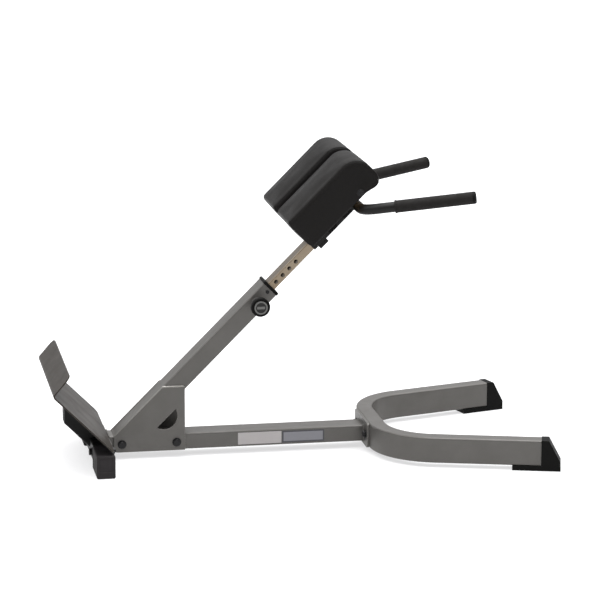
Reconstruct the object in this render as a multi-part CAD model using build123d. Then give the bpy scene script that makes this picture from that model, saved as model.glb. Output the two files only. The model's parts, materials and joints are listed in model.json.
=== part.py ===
from build123d import *
import math
import os

# A 45 degree roman chair (back-extension bench). Millimetres, +Z up, floor at Z = 0.
# +X runs from the foot plate at the front to the splayed base at the back, and the bench is
# symmetric about Y = 0. A user lies face down along the mast, so their right hand is at -Y.
# The drawing is laid out from the lower edge of the sole plate, and moved at the very end
# so that the origin is on the floor under the middle of the bench.

# ---- frame tube, one section for the whole silver frame ----
TUBE_W = 70.0
TUBE_H = 45.0
TUBE_WALL = 3.0
TUBE_CORNER = 5.0

# ---- floor heights ----
BASE_LIFT = 13.0
SPINE_BOTTOM = 20.0
SPINE_MID = SPINE_BOTTOM + TUBE_H / 2
SPINE_TOP = SPINE_BOTTOM + TUBE_H

# ---- spine and its end plates ----
PLATE = 6.0
STABILISER_SIZE = 45.0
STABILISER_RIGHT = 1.5
STABILISER_LEFT = STABILISER_RIGHT - STABILISER_SIZE
STABILISER_BOTTOM = 15.0
STABILISER_MID = STABILISER_BOTTOM + STABILISER_SIZE / 2
STABILISER_TOP = STABILISER_BOTTOM + STABILISER_SIZE
STABILISER_HALF = 214.0
SPINE_START = STABILISER_RIGHT + PLATE
SPINE_END = 709.0
BASE_FRONT = SPINE_END + PLATE
FRONT_PLATE_HALF = 105.0
FRONT_PLATE_HEIGHT = 46.0
FRONT_BOLT_Y = 80.0
REAR_PLATE_HALF = 85.0
REAR_BOLT_Y = 62.0
REAR_BOLT_Z = BASE_LIFT + TUBE_W / 2

# ---- splayed rear base: one bent tube standing on edge ----
BASE_HALF_WIDTH = 338.5
BASE_END_X = 1130.0
BASE_SPLAY = 16.0
BASE_BEND_OUTER = 190.0
CAP_NOSE = 20.0
CAP_TOE = 52.0
CAP_TOE_HEIGHT = 24.0
CAP_LIP = 77.0
CAP_SIDE = 1.5
CAP_PLUG = 30.0
CAP_PROUD = 0.5
CAP_ROUND = 5.0

# ---- mast: the 45 degree upright, measured along a line from the spine's top; its own ----
# ---- centre, with that of everything that slides in it, lies MAST_N below that line ----
MAST_ANGLE = 45.0
MAST_FOOT_X = 54.8
MAST_H = 50.0
MAST_N = -2.0
MAST_LENGTH = 554.0
GUIDE_FLANGE = 8.0
GUIDE_LIP = 1.5
GUIDE_ROUND = 2.0
GUIDE_DEPTH = 110.0
GUIDE_SCREW_T = 544.5
GUIDE_SCREW = 2.0
GUIDE_SCREW_HEAD = 5.0
GUIDE_SCREW_CROWN = 2.4
GUIDE_SCREW_BITE = 5.0
CROSS_LENGTH = 5.5
CROSS_WIDTH = 1.0
PIN_T = 504.0

# ---- gusset plates ----
GUSSET = 5.0
GUSSET_LEFT = 20.0
GUSSET_RIGHT = 214.0
GUSSET_TOP = 196.0
GUSSET_CORNER = 10.0
GUSSET_BOLT_X = (42.0, 191.0)
SLOT_CHORD = 72.0
SLOT_SAGITTA = 28.0
SLOT_MID = (163.0, 110.0)

# ---- adjusting tube, plated ----
INNER_W = 50.0
INNER_H = 25.0
INNER_WALL = 2.5
INNER_CORNER = 3.0
HOLE_PITCH = 25.4
HOLE_RADIUS = 5.5
HOLES_UP = 6
HOLES_DOWN = 2
SLIDE_GAP = 0.3
INNER_TAIL = 62.0
GLIDE_LENGTH = 10.0
GLIDE_PLUG = 18.0
INNER_TOP_T = 780.0

# ---- pull pin ----
PIN_RADIUS = 4.5
PIN_TRAVEL = 9.0
PIN_CLEAR = 0.6
BARREL_RADIUS = 9.0
BARREL_BORE = 7.4
BARREL_LENGTH = 24.0
BARREL_CAP = 3.0
WELD_NUT_AF = 24.0
WELD_NUT_HEIGHT = 8.0
PIN_COLLAR_RADIUS = 7.0
PIN_COLLAR = 3.0
SPRING_WIRE = 0.6
SPRING_RADIUS = 5.9
SPRING_TURNS = 5
KNOB_RADIUS = 26.0
KNOB_THICK = 20.0
KNOB_HUB = 11.0
KNOB_STEM = 10.0
KNOB_CAP_RADIUS = 18.0
KNOB_ROUND = 4.0
KNOB_RECESS = 2.0
KNOB_CAP = 2.5
KNOB_RING = 4.0
KNOB_BAR = (22.0, 7.0)
KNOB_RELIEF = 1.6

# ---- pad post and what it carries ----
POST_START = 715.0
POST_END = 870.0
POST_W = 60.0
POST_H = 35.0
POST_HALF = POST_H / 2
POST_PLATE = 3.0
SPACER_LENGTH = 62.0
POST_BOLT_T = 743.5
POST_BOLT = 12.0
POST_BOLT_AF = 18.0
POST_BOLT_HEAD = 6.5
POST_NUT = 10.0
POST_WASHER_RADIUS = 12.0
BLOCK_LENGTH = 30.0
BLOCK_WIDTH = 56.0
BLOCK_HEIGHT = 9.5
BLOCK_FLOOR = 2.5
BLOCK_POCKET = 11.5
RAIL_T = (790.0, 844.0)
RAIL_WIDTH = 30.0
RAIL_HALF = 150.0
RAIL_WALL = 2.0
RAIL_PLUG = 12.0
PAD_BACK = 39.5
RAIL_HEIGHT = PAD_BACK - POST_HALF

# ---- pads ----
PAD_BOTTOM_T = 715.0
PAD_TOP_T = 975.0
PAD_FRONT = 136.0
PAD_INNER_Y = 25.0
PAD_WIDTH = 178.0
PAD_TOP_FRONT_RADIUS = 48.0
PAD_TOP_BACK_RADIUS = 24.0
PAD_BOTTOM_FRONT_RADIUS = 10.0
PAD_BOTTOM_BACK_RADIUS = 14.0
PAD_SIDE_RADIUS = 8.0
BOARD = 12.0
BOARD_INSET = 14.0
PAD_BOLT_Y = 105.0
SIDE_SCREW_T = 908.0

# ---- handle bar and grips ----
HANDLE_RADIUS = 14.0
HANDLE_WALL = 2.0
HANDLE_T = 879.0
HANDLE_N = 13.0
HANDLE_HALF = 199.0
HANDLE_SPLAY = 16.2
HANDLE_RISE = 8.2
HANDLE_BEND = 42.0
HANDLE_REACH = 292.0
GRIP_START = 86.0
GRIP_RADIUS = 16.5
GRIP_PLUG = 9.0
GRIP_PLUG_ROUND = 5.5
GRIP_PLUG_SHANK = 20.0
GRIP_BEAD = 1.2

# ---- foot plate and its arm ----
SHEET = 4.0
SHEET_BEND = 6.0
SOLE_LENGTH = 227.0
SOLE_FOOT_Z = 68.0
CALF_LENGTH = 71.0
CALF_ANGLE = 49.3
FOOT_HALF_WIDTH = 220.0
CALF_CORNER = 22.0
SOLE_CORNER = 16.0
ARM_SIZE = 50.0
ARM_CUT_X = -111.5
ARM_CAP = 3.0

# ---- rubber feet of the front bar ----
FOOT_LENGTH = 105.0
FOOT_SKIN = 2.5
FOOT_END = 6.0
FOOT_PANEL_EDGE = 3.0
FOOT_PANEL_DEPTH = 1.5
FOOT_ROUND = 2.0

# ---- fasteners ----
M10 = 10.0
M10_AF = 17.0
M10_HEAD = 6.5
M10_NUT = 8.0
HOLE_EASE = 1.0
WASHER = 2.0
WASHER_RADIUS = 12.0
M8 = 8.0
M8_AF = 13.0
M8_HEAD = 5.5
M8_WASHER = 1.6
M8_WASHER_RADIUS = 8.5
THREAD_END = 3.0

# ---- labels on the spine's right side ----
LABEL = 0.3
LABEL_HEIGHT = 33.0
LABEL_CORNER = 1.5
SIZE_LABEL_X = (360.0, 480.0)
NOTICE_LABEL_X = (482.0, 599.0)

SQRT2 = math.sqrt(2)
MAST_DIR = Vector(math.cos(math.radians(MAST_ANGLE)), 0, math.sin(math.radians(MAST_ANGLE)))
MAST_NORMAL = Vector(-MAST_DIR.Z, 0, MAST_DIR.X)
MAST_FOOT = Vector(MAST_FOOT_X, 0, SPINE_TOP)
FAR = 2000.0


def mast_point(t, n=0.0, y=0.0):
    """A point t along the mast's line, n off it on its upper side, at width y."""
    return MAST_FOOT + MAST_DIR * t + MAST_NORMAL * n + Vector(0, y, 0)


def mast_section(t, n=MAST_N):
    """Plane across the mast: its X is the bench's Y, its Y points off the upper face."""
    return Plane(origin=mast_point(t, n), x_dir=(0, 1, 0), z_dir=MAST_DIR)


def mast_side(y):
    """Plane of the mast's side view at width y: X along the mast, Y off the upper face, facing -Y."""
    return Plane(origin=mast_point(0, 0, y), x_dir=MAST_DIR, z_dir=(0, -1, 0))


def facing(point, direction):
    """Plane at a point whose normal is the given direction."""
    return Plane(origin=point, z_dir=direction)


def hollow(width, height, wall, corner):
    """Section of a rectangular tube."""
    inner_corner = max(corner - wall, 0.5)
    inner = RectangleRounded(width - 2 * wall, height - 2 * wall, inner_corner)
    return RectangleRounded(width, height, corner) - inner


def rod(point, direction, radius, length):
    """Round bar from a point along a direction."""
    return extrude(facing(point, direction) * Circle(radius), amount=length)


def group(solids):
    """Several separate solids kept together as one node."""
    return Compound([s for part in solids for s in part.solids()])


def hex_bolt(point, outward, diameter, across_flats, head, length):
    """Bolt whose head sits at a point and faces outward, with its shank going the other way."""
    seat = facing(point, outward)
    side = across_flats / math.sqrt(3)
    body = extrude(seat * RegularPolygon(side, 6), amount=head)
    crown = extrude(seat * Circle(across_flats / 2 * 1.12), amount=head)
    crown = chamfer(crown.faces().sort_by(Axis(seat.origin, seat.z_dir))[-1].edges(), head * 0.18)
    shank = extrude(seat * Circle(diameter / 2), amount=-length)
    shank = chamfer(shank.faces().sort_by(Axis(seat.origin, seat.z_dir))[0].edges(), diameter * 0.1)
    return (body & crown) + shank


def hex_nut(point, outward, diameter, across_flats, height):
    """Plain nut seated at a point, with a clear hole for its bolt."""
    seat = facing(point, outward)
    side = across_flats / math.sqrt(3)
    blank = extrude(seat * (RegularPolygon(side, 6) - Circle(diameter / 2)), amount=height)
    crown = extrude(seat * Circle(across_flats / 2 * 1.12), amount=height)
    crown = chamfer(crown.faces().sort_by(Axis(seat.origin, seat.z_dir))[-1].edges(), height * 0.15)
    return blank & crown


def washer(point, outward, diameter, outer_radius=WASHER_RADIUS, thickness=WASHER):
    """Flat washer lying at a point, its thickness going outward."""
    return extrude(facing(point, outward) * (Circle(outer_radius) - Circle(diameter / 2)), amount=thickness)


# ---------------------------------------------------------------- main frame


def gusset_bolt_holes():
    ease = (M10 + HOLE_EASE) / 2
    return [rod(Vector(x, -FAR / 2, SPINE_MID), Vector(0, 1, 0), ease, FAR) for x in GUSSET_BOLT_X]


def main_beam():
    section = Plane.YZ.offset(SPINE_START) * Pos(0, SPINE_MID) * hollow(
        TUBE_W, TUBE_H, TUBE_WALL, TUBE_CORNER
    )
    beam = extrude(section, amount=SPINE_END - SPINE_START)
    return beam - gusset_bolt_holes()


def end_plate(x, half_width, bottom, height, bolt_y, bolt_z):
    """Upright flange plate across the spine's end, with a bolt hole each side."""
    sketch = Pos(0, bottom + height / 2) * RectangleRounded(2 * half_width, height, GUSSET_CORNER)
    ease = (M10 + HOLE_EASE) / 2
    for side in (-1, 1):
        sketch -= Pos(side * bolt_y, bolt_z) * Circle(ease)
    return extrude(Plane.YZ.offset(x) * sketch, amount=PLATE)


def front_flange():
    bottom = STABILISER_BOTTOM + 1
    return end_plate(
        STABILISER_RIGHT, FRONT_PLATE_HALF, bottom, FRONT_PLATE_HEIGHT, FRONT_BOLT_Y, STABILISER_MID
    )


def rear_flange():
    return end_plate(SPINE_END, REAR_PLATE_HALF, BASE_LIFT, TUBE_W, REAR_BOLT_Y, REAR_BOLT_Z)


def leg_frame():
    """Plane at the end of the base's right leg: Z out along the leg, X level and inward."""
    splay = math.radians(BASE_SPLAY)
    out = Vector(math.cos(splay), -math.sin(splay), 0)
    inward = Vector(math.sin(splay), math.cos(splay), 0)
    corner = Vector(BASE_END_X, -BASE_HALF_WIDTH, BASE_LIFT)
    return Plane(origin=corner + inward * (TUBE_H / 2), x_dir=inward, z_dir=out)


def base_path():
    """Centre line of the rear base at floor-parallel mid height."""
    leg = leg_frame()
    mid = BASE_LIFT + TUBE_W / 2
    end = leg.origin
    run = (end.X - BASE_FRONT - TUBE_H / 2) / math.cos(math.radians(BASE_SPLAY))
    corner = end - leg.z_dir * run
    points = [
        (end.X, end.Y, mid),
        (corner.X, corner.Y, mid),
        (corner.X, -corner.Y, mid),
        (end.X, -end.Y, mid),
    ]
    return FilletPolyline(*points, radius=BASE_BEND_OUTER - TUBE_H / 2)


def rear_base():
    path = base_path()
    start = Plane(origin=path @ 0, x_dir=(0, 0, 1), z_dir=path % 0)
    base = sweep(start * hollow(TUBE_W, TUBE_H, TUBE_WALL, TUBE_CORNER), path=path)
    ease = (M10 + HOLE_EASE) / 2
    for side in (-1, 1):
        through = Vector(BASE_FRONT - 1, side * REAR_BOLT_Y, REAR_BOLT_Z)
        base -= rod(through, Vector(1, 0, 0), ease, TUBE_H + 2)
    return base


def rear_cap():
    """Plastic end foot of the right leg: a plug, a sloping nose and a sole under the tube."""
    leg = leg_frame()
    side = Plane(origin=leg.origin - leg.x_dir * (TUBE_H / 2 + CAP_SIDE), x_dir=leg.z_dir, z_dir=-leg.x_dir)
    top = TUBE_W + CAP_PROUD
    outline = Polyline(
        (-CAP_LIP, -BASE_LIFT),
        (CAP_TOE, -BASE_LIFT),
        (CAP_TOE, CAP_TOE_HEIGHT - BASE_LIFT),
        (CAP_NOSE, top),
        (0, top),
        (0, 0),
        (-CAP_LIP, 0),
        close=True,
    )
    shell = extrude(side * make_face(outline), amount=-(TUBE_H + 2 * CAP_SIDE))
    nose = [e for e in shell.edges() if abs(e.tangent_at(0.5).dot(leg.x_dir)) > 0.99]
    nose = [e for e in nose if leg.to_local_coords(e.center()).Z > CAP_NOSE - 1 and e.center().Z > 1]
    shell = fillet(nose, CAP_ROUND)
    plug = leg * Pos(0, TUBE_W / 2) * RectangleRounded(
        TUBE_H - 2 * TUBE_WALL, TUBE_W - 2 * TUBE_WALL, TUBE_CORNER - TUBE_WALL
    )
    return shell + extrude(plug, amount=-CAP_PLUG)


# ---------------------------------------------------------------- mast


def mast_tube():
    below = 2 * MAST_H
    tube = extrude(
        mast_section(-below) * hollow(TUBE_W, MAST_H, TUBE_WALL, TUBE_CORNER), amount=MAST_LENGTH + below
    )
    floor = Pos(MAST_FOOT_X, 0, SPINE_TOP - FAR / 2) * Box(FAR, FAR, FAR)
    pin_hole = rod(pin_side(0), Vector(0, 1, 0), BARREL_RADIUS, TUBE_WALL + 1)
    screw_hole = rod(guide_screw_seat(), Vector(0, 1, 0), GUIDE_SCREW + HOLE_EASE / 2, TUBE_WALL + 1)
    return tube - floor - pin_hole - screw_hole


def gusset_plate():
    """Right gusset without its slot. Its slope lies flush with the mast's upper face."""
    rise = SPINE_TOP - MAST_FOOT_X + (MAST_H / 2 + MAST_N) * SQRT2
    outline = Polyline(
        (GUSSET_LEFT, SPINE_BOTTOM),
        (GUSSET_RIGHT, SPINE_BOTTOM),
        (GUSSET_RIGHT, GUSSET_TOP),
        (GUSSET_TOP - rise, GUSSET_TOP),
        (GUSSET_LEFT, GUSSET_LEFT + rise),
        close=True,
    )
    plate = extrude(Plane.XZ.offset(TUBE_W / 2) * make_face(outline), amount=GUSSET)
    low_corner = plate.edges().filter_by(Axis.Y).sort_by(Axis.X)[0:2].sort_by(Axis.Z)[0]
    return fillet(low_corner, GUSSET_CORNER) - gusset_bolt_holes()


def gusset_slot():
    """Half-moon slot, its straight side parallel to the mast."""
    half = SLOT_CHORD / 2 / SQRT2
    bulge = SLOT_SAGITTA / SQRT2
    low = (SLOT_MID[0] - half, SLOT_MID[1] - half)
    high = (SLOT_MID[0] + half, SLOT_MID[1] + half)
    belly = (SLOT_MID[0] + bulge, SLOT_MID[1] - bulge)
    moon = make_face([Line(low, high), ThreePointArc(high, belly, low)])
    return extrude(Plane.XZ * moon, amount=TUBE_W)


def guide_bushing():
    """Plastic guide in the mast's mouth: a flange outside and a long sleeve inside."""
    hole = RectangleRounded(INNER_W + 2 * SLIDE_GAP, INNER_H + 2 * SLIDE_GAP, INNER_CORNER)
    lid = RectangleRounded(TUBE_W + 2 * GUIDE_LIP, MAST_H + 2 * GUIDE_LIP, TUBE_CORNER)
    flange = extrude(mast_section(MAST_LENGTH) * lid, amount=GUIDE_FLANGE)
    top = flange.faces().sort_by(Axis(mast_point(0), MAST_DIR))[-1]
    flange = fillet(top.edges(), GUIDE_ROUND)
    flange -= extrude(mast_section(MAST_LENGTH) * hole, amount=2 * GUIDE_FLANGE)
    sleeve_w = TUBE_W - 2 * TUBE_WALL
    sleeve_h = MAST_H - 2 * TUBE_WALL
    sleeve = RectangleRounded(sleeve_w, sleeve_h, TUBE_CORNER - TUBE_WALL) - hole
    bushing = flange + extrude(mast_section(MAST_LENGTH) * sleeve, amount=-GUIDE_DEPTH)
    nose = rod(pin_side(0), Vector(0, 1, 0), BARREL_RADIUS, TUBE_W / 2)
    screw = rod(guide_screw_seat(), Vector(0, 1, 0), GUIDE_SCREW, TUBE_WALL + GUIDE_SCREW_BITE)
    return bushing - nose - screw


def guide_screw_seat():
    return mast_point(GUIDE_SCREW_T, MAST_N, -TUBE_W / 2)


def guide_screw():
    """Small pan-head screw that holds the guide bushing."""
    seat = guide_screw_seat()
    head = rod(seat, Vector(0, -1, 0), GUIDE_SCREW_HEAD, GUIDE_SCREW_CROWN)
    head = fillet(head.faces().sort_by(Axis.Y)[0].edges(), GUIDE_SCREW_CROWN * 0.65)
    cross = Box(CROSS_LENGTH, CROSS_WIDTH, CROSS_WIDTH) + Box(CROSS_WIDTH, CROSS_WIDTH, CROSS_LENGTH)
    head -= Pos(seat.X, seat.Y - GUIDE_SCREW_CROWN, seat.Z) * cross
    return head + rod(seat, Vector(0, 1, 0), GUIDE_SCREW, TUBE_WALL + GUIDE_SCREW_BITE)


# ---------------------------------------------------------------- pull pin


def pin_side(outward):
    """Point on the pull pin's axis, measured outward from the mast's right face."""
    return mast_point(PIN_T, MAST_N, -TUBE_W / 2 - outward)


def pin_barrel():
    """Threaded barrel welded through the mast wall, bored for the plunger and its spring."""
    reach = TUBE_WALL + 1.6
    out = Vector(0, -1, 0)
    barrel = rod(pin_side(-reach), out, BARREL_RADIUS, BARREL_LENGTH + reach)
    barrel -= rod(pin_side(-reach - 1), out, PIN_RADIUS + 0.05, BARREL_LENGTH + 20)
    barrel -= rod(pin_side(0), out, BARREL_BORE, BARREL_LENGTH - BARREL_CAP)
    return barrel


def pin_weld_nut():
    """Hexagon collar welded to the mast around the barrel."""
    seat = facing(pin_side(0), Vector(0, -1, 0))
    sketch = RegularPolygon(WELD_NUT_AF / math.sqrt(3), 6) - Circle(BARREL_RADIUS)
    return extrude(seat * sketch, amount=WELD_NUT_HEIGHT)


def pin_tip_depth():
    """How far the drawn pin's tip lies inside the mast's right face: just clear of the inner tube."""
    return (TUBE_W - INNER_W) / 2 - PIN_CLEAR


def pin_collar_out():
    """Where the collar's outer face stands when the pin is drawn, against the closed spring."""
    return BARREL_LENGTH - BARREL_CAP - SPRING_TURNS * 2 * SPRING_WIRE - 3.0


def pull_pin():
    out = Vector(0, -1, 0)
    depth = pin_tip_depth()
    length = depth + BARREL_LENGTH + PIN_TRAVEL + KNOB_HUB + 1
    shaft = rod(pin_side(-depth), out, PIN_RADIUS, length)
    shaft = chamfer(shaft.faces().sort_by(Axis.Y)[-1].edges(), 0.8)
    collar = rod(pin_side(pin_collar_out() - PIN_COLLAR), out, PIN_COLLAR_RADIUS, PIN_COLLAR)
    return shaft + collar


def pin_spring():
    """Compression spring between the collar and the barrel's cap, closed up by the drawn pin."""
    start = pin_collar_out() + SPRING_WIRE + 0.1
    height = BARREL_LENGTH - BARREL_CAP - start - SPRING_WIRE - 0.1
    coil = Helix(pitch=height / SPRING_TURNS, height=height, radius=SPRING_RADIUS)
    section = Plane(origin=coil @ 0, z_dir=coil % 0) * Circle(SPRING_WIRE)
    spring = sweep(section, path=coil, is_frenet=True)
    return facing(pin_side(start), Vector(0, -1, 0)).location * spring


def knob_base():
    """How far the knob's stem starts from the mast's face when the pin is drawn."""
    return BARREL_LENGTH + PIN_TRAVEL + 1


def pull_knob():
    out = Vector(0, -1, 0)
    base = knob_base()
    stem = rod(pin_side(base), out, KNOB_HUB, KNOB_STEM)
    disc = rod(pin_side(base + KNOB_STEM), out, KNOB_RADIUS, KNOB_THICK)
    disc = fillet(disc.edges().filter_by(GeomType.CIRCLE), KNOB_ROUND)
    recess = rod(pin_side(knob_face()), out, KNOB_CAP_RADIUS, 2 * KNOB_RECESS)
    bore = rod(pin_side(base - 1), out, PIN_RADIUS, KNOB_HUB + 2)
    return stem + disc - recess - bore


def knob_face():
    """How far the floor of the knob's recess stands out from the mast."""
    return knob_base() + KNOB_STEM + KNOB_THICK - KNOB_RECESS


def knob_cap():
    """Disc pressed into the knob's face, with a raised ring and a plain raised bar."""
    out = Vector(0, -1, 0)
    disc = rod(pin_side(knob_face()), out, KNOB_CAP_RADIUS, KNOB_CAP)
    relief = pin_side(knob_face() + KNOB_CAP)
    ring = rod(relief, out, KNOB_CAP_RADIUS, KNOB_RELIEF)
    ring -= rod(relief, out, KNOB_CAP_RADIUS - KNOB_RING, KNOB_RELIEF)
    seat = Plane(origin=relief, x_dir=(1, 0, 0), z_dir=out)
    bar = extrude(seat * RectangleRounded(*KNOB_BAR, 2), amount=KNOB_RELIEF)
    return disc + ring + bar


# ---------------------------------------------------------------- adjusting tube and pad carriage


def tail_t():
    """Lower end of the adjusting tube at rest."""
    return PIN_T - HOLES_DOWN * HOLE_PITCH - INNER_TAIL


def post_bolt_hole(diameter):
    return rod(mast_point(POST_BOLT_T, -TUBE_H), MAST_NORMAL, diameter / 2, 2 * TUBE_H)


def adjust_tube():
    section = mast_section(tail_t()) * hollow(INNER_W, INNER_H, INNER_WALL, INNER_CORNER)
    tube = extrude(section, amount=INNER_TOP_T - tail_t())
    for i in range(-HOLES_DOWN, HOLES_UP + 1):
        start = mast_point(PIN_T + i * HOLE_PITCH, MAST_N, -INNER_W)
        tube -= rod(start, Vector(0, 1, 0), HOLE_RADIUS, 2 * INNER_W)
    return tube - post_bolt_hole(POST_BOLT)


def tail_glide():
    """Plastic plug on the tube's lower end, which runs inside the mast."""
    width = TUBE_W - 2 * TUBE_WALL - 2 * SLIDE_GAP
    height = MAST_H - 2 * TUBE_WALL - 2 * SLIDE_GAP
    block = extrude(mast_section(tail_t()) * RectangleRounded(width, height, 2), amount=-GLIDE_LENGTH)
    inner_w = INNER_W - 2 * INNER_WALL
    inner_h = INNER_H - 2 * INNER_WALL
    plug = mast_section(tail_t()) * RectangleRounded(inner_w, inner_h, INNER_CORNER - INNER_WALL)
    return block + extrude(plug, amount=GLIDE_PLUG)


def pad_post():
    section = mast_section(POST_START, 0) * hollow(POST_W, POST_H, TUBE_WALL, TUBE_CORNER)
    post = extrude(section, amount=POST_END - POST_START)
    return post - post_bolt_hole(POST_BOLT) - handle_saddle()


def handle_saddle():
    """The round notch that the handle bar lies in, across the post's upper end."""
    return rod(mast_point(HANDLE_T, HANDLE_N, -POST_W), Vector(0, 1, 0), HANDLE_RADIUS, 2 * POST_W)


def post_core():
    """Outline of the space inside the post."""
    width = POST_W - 2 * TUBE_WALL
    height = POST_H - 2 * TUBE_WALL
    return RectangleRounded(width, height, TUBE_CORNER - TUBE_WALL)


def post_spacer():
    """Steel filler over the adjusting tube, which lies on the floor of the post."""
    tube = Pos(0, MAST_N) * RectangleRounded(INNER_W, INNER_H, INNER_CORNER)
    toes = Pos(0, MAST_N - INNER_H / 2) * Rectangle(INNER_W, 2 * INNER_CORNER)
    sketch = mast_section(POST_START, 0) * (post_core() - tube - toes)
    return extrude(sketch, amount=SPACER_LENGTH) - post_bolt_hole(POST_BOLT)


def post_end_plate():
    """Plate welded inside the post's upper end, behind the handle bar."""
    plate = extrude(mast_section(POST_END - POST_PLATE, 0) * post_core(), amount=POST_PLATE)
    return plate - handle_saddle()


def post_block():
    """Clamp block under the post, with a round pocket that hides the bolt's head."""
    sketch = RectangleRounded(BLOCK_LENGTH, BLOCK_WIDTH, 2)
    seat = Plane(origin=mast_point(POST_BOLT_T, -POST_HALF), x_dir=MAST_DIR, z_dir=MAST_NORMAL * -1)
    block = extrude(seat * sketch, amount=BLOCK_HEIGHT)
    pocket = mast_point(POST_BOLT_T, -POST_HALF - BLOCK_FLOOR)
    return block - rod(pocket, MAST_NORMAL * -1, BLOCK_POCKET, BLOCK_HEIGHT) - post_bolt_hole(POST_BOLT)


def post_bolt():
    """Bolt through block, post and tube."""
    length = BLOCK_FLOOR + POST_H + WASHER + POST_NUT + THREAD_END
    seat = mast_point(POST_BOLT_T, -POST_HALF - BLOCK_FLOOR)
    return hex_bolt(seat, MAST_NORMAL * -1, POST_BOLT, POST_BOLT_AF, POST_BOLT_HEAD, length)


def post_washer():
    seat = mast_point(POST_BOLT_T, POST_HALF)
    return washer(seat, MAST_NORMAL, POST_BOLT, POST_WASHER_RADIUS)


def post_nut():
    seat = mast_point(POST_BOLT_T, POST_HALF + WASHER)
    return hex_nut(seat, MAST_NORMAL, POST_BOLT, POST_BOLT_AF, POST_NUT)


def pad_rail(t):
    """Rectangular cross tube welded on the post, with a bolt hole under each pad."""
    mid = mast_point(t, POST_HALF + RAIL_HEIGHT / 2, -RAIL_HALF)
    across = Plane(origin=mid, x_dir=MAST_DIR, z_dir=(0, 1, 0))
    rail = extrude(across * hollow(RAIL_WIDTH, RAIL_HEIGHT, RAIL_WALL, 3), amount=2 * RAIL_HALF)
    for y in (-PAD_BOLT_Y, PAD_BOLT_Y):
        rail -= rod(mast_point(t, 0, y), MAST_NORMAL, (M8 + HOLE_EASE) / 2, PAD_BACK + 5)
    return rail


def rail_plugs():
    """Thin plastic plugs in the four open ends of the pad rails."""
    plugs = []
    width = RAIL_WIDTH - 2 * RAIL_WALL
    height = RAIL_HEIGHT - 2 * RAIL_WALL
    for t in RAIL_T:
        for side in (-1, 1):
            mid = mast_point(t, POST_HALF + RAIL_HEIGHT / 2, side * RAIL_HALF)
            seat = Plane(origin=mid, x_dir=MAST_DIR, z_dir=(0, side, 0))
            plug = extrude(seat * RectangleRounded(width, height, RAIL_WALL / 2), amount=-RAIL_PLUG)
            lid = RectangleRounded(width + RAIL_WALL, height + RAIL_WALL, RAIL_WALL)
            plugs.append(plug + extrude(seat * lid, amount=RAIL_WALL))
    return group(plugs)


def pad_bolts():
    shank = RAIL_HEIGHT + BOARD - 1
    bolts = []
    for t in RAIL_T:
        for y in (-PAD_BOLT_Y, PAD_BOLT_Y):
            seat = mast_point(t, POST_HALF - M8_WASHER, y)
            bolts.append(hex_bolt(seat, MAST_NORMAL * -1, M8, M8_AF, M8_HEAD, shank))
    return group(bolts)


def pad_washers():
    return group(
        washer(mast_point(t, POST_HALF, y), MAST_NORMAL * -1, M8, M8_WASHER_RADIUS, M8_WASHER)
        for t in RAIL_T
        for y in (-PAD_BOLT_Y, PAD_BOLT_Y)
    )


def pad_outline():
    """Side outline of a pad, with its big rolled top end."""
    corners = [
        (PAD_BOTTOM_T, PAD_BACK),
        (PAD_TOP_T, PAD_BACK),
        (PAD_TOP_T, PAD_FRONT),
        (PAD_BOTTOM_T, PAD_FRONT),
    ]
    face = make_face(Polyline(*corners, close=True))
    radii = [PAD_BOTTOM_BACK_RADIUS, PAD_TOP_BACK_RADIUS, PAD_TOP_FRONT_RADIUS, PAD_BOTTOM_FRONT_RADIUS]
    for (t, n), radius in zip(corners, radii):
        corner = face.vertices().sort_by_distance((t, n, 0))[0]
        face = fillet(corner, radius)
    return face


def board_block(y, grow=0.0):
    """The plywood board of the pad whose inner side is at y = PAD_INNER_Y."""
    length = PAD_TOP_T - PAD_BOTTOM_T - 2 * BOARD_INSET - PAD_TOP_BACK_RADIUS / 2
    mid_t = PAD_BOTTOM_T + BOARD_INSET + length / 2
    width = PAD_WIDTH - 2 * BOARD_INSET
    seat = Plane(origin=mast_point(mid_t, PAD_BACK, y), x_dir=MAST_DIR, z_dir=MAST_NORMAL)
    return extrude(seat * RectangleRounded(length, width, 12), amount=BOARD)


def pad_board():
    y = -(PAD_INNER_Y + PAD_WIDTH / 2)
    board = board_block(y)
    for t in RAIL_T:
        board -= rod(mast_point(t, 0, -PAD_BOLT_Y), MAST_NORMAL, M8 / 2, PAD_FRONT - 40)
    return board


def pad_cushion():
    block = extrude(mast_side(-PAD_INNER_Y) * pad_outline(), amount=PAD_WIDTH)
    rims = [e for e in block.edges() if abs(e.tangent_at(0.5).Y) < 0.1 and not is_pad_back(e)]
    block = fillet(rims, PAD_SIDE_RADIUS)
    return block - board_block(-(PAD_INNER_Y + PAD_WIDTH / 2)) - side_screw_cut()


def is_pad_back(edge):
    """True for the straight edges of a pad's flat back, which stay square."""
    local = mast_side(0).to_local_coords(edge.center())
    return abs(local.Y - PAD_BACK) < 0.5


def side_screw_seat():
    y = -(PAD_INNER_Y + PAD_WIDTH)
    return mast_point(SIDE_SCREW_T, PAD_BACK + BOARD / 2 + 6, y)


def side_screw_cut():
    return rod(side_screw_seat() + Vector(0, -5, 0), Vector(0, 1, 0), 2.5, 17)


def pad_side_screw():
    """Cup-washer screw in the pad's outer side."""
    out = Vector(0, -1, 0)
    cup = rod(side_screw_seat(), out, 9.5, 1.5)
    head = rod(side_screw_seat() + out * 1.5, out, 6.0, 2.5)
    head = fillet(head.faces().sort_by(Axis.Y)[0].edges(), 1.5)
    socket = facing(side_screw_seat() + out * 2.5, out) * RegularPolygon(2.3, 6)
    head -= extrude(socket, amount=2)
    return cup + head + rod(side_screw_seat(), Vector(0, 1, 0), 2.5, 12)


# ---------------------------------------------------------------- handle bar


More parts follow.
